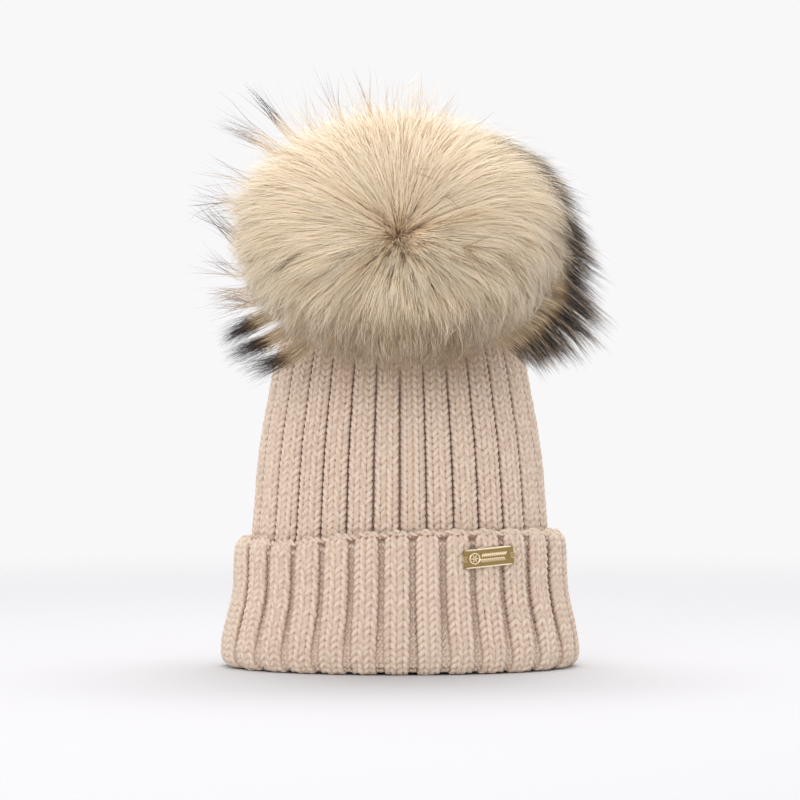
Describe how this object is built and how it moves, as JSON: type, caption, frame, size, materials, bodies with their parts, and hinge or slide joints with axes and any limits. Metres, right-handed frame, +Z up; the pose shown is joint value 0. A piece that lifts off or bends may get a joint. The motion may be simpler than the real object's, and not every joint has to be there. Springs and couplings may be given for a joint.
{
  "type": "pom pom beanie",
  "caption": "Rib-knit beanie with a turned-up cuff, a sewn metal plate and a round fur pom pom that snaps onto the gathered crown.",
  "frame": {"origin": "centre of the head opening, in the plane that the folded cuff rests on", "axes": "+Z up along the hat from the opening to the crown, front of the hat along -Y"},
  "size_m": [0.22, 0.2038, 0.3286],
  "materials": {
    "rib_knit": "matte",
    "knit_yarn": "matte",
    "felt": "matte",
    "snap_metal": "satin",
    "spring_steel": "satin",
    "pelt_skin": "matte",
    "sewing_thread": "satin",
    "stuffing": "matte",
    "cream_fur": "satin",
    "dark_fur": "satin",
    "gold_plate": "polished",
    "label_satin": "satin"
  },
  "bodies": {
    "hat": {"knit_body": "rib_knit", "turned_up_cuff": "rib_knit", "crown_tie_yarn": "knit_yarn", "plate": "gold_plate", "plate_stitch_left": "sewing_thread", "plate_stitch_right": "sewing_thread", "back_label": "label_satin", "back_label_stitches": "sewing_thread", "care_label_stitches": "sewing_thread"},
    "crown_tip": {"crown_knot": "rib_knit", "felt_washer": "felt", "stud_cap": "snap_metal", "snap_stud": "snap_metal"},
    "stud_spring": {"snap_spring": "spring_steel"},
    "pom_pom": {"snap_socket": "snap_metal", "socket_rivet": "snap_metal", "pom_base_disc": "felt", "pom_pelt": "pelt_skin", "pom_drawstring": "sewing_thread", "pom_stuffing": "stuffing", "pom_fur": "cream_fur", "pom_guard_hair": "dark_fur"},
    "care_tag": {"care_label": "label_satin"}
  },
  "joints": [
    {"name": "pom_tilt", "type": "hinge", "parent": "hat", "child": "crown_tip", "pos_m": [0, 0, 0.225], "axis": [-1, 0, 0], "range_deg": [0, 148]},
    {"name": "pom_pull_off", "type": "slide", "parent": "crown_tip", "child": "stud_spring", "axis": [0, -0.9613, 0.2756], "range_m": [0, 0.08]},
    {"name": "pom_spin", "type": "hinge", "parent": "stud_spring", "child": "pom_pom", "pos_m": [0, 0, 0.225], "axis": [0, -0.9613, 0.2756], "continuous": true},
    {"name": "care_label_flap", "type": "hinge", "parent": "hat", "child": "care_tag", "pos_m": [-0.0802, 0, 0.062], "axis": [0, -1, 0], "range_deg": [0, 110]}
  ]
}
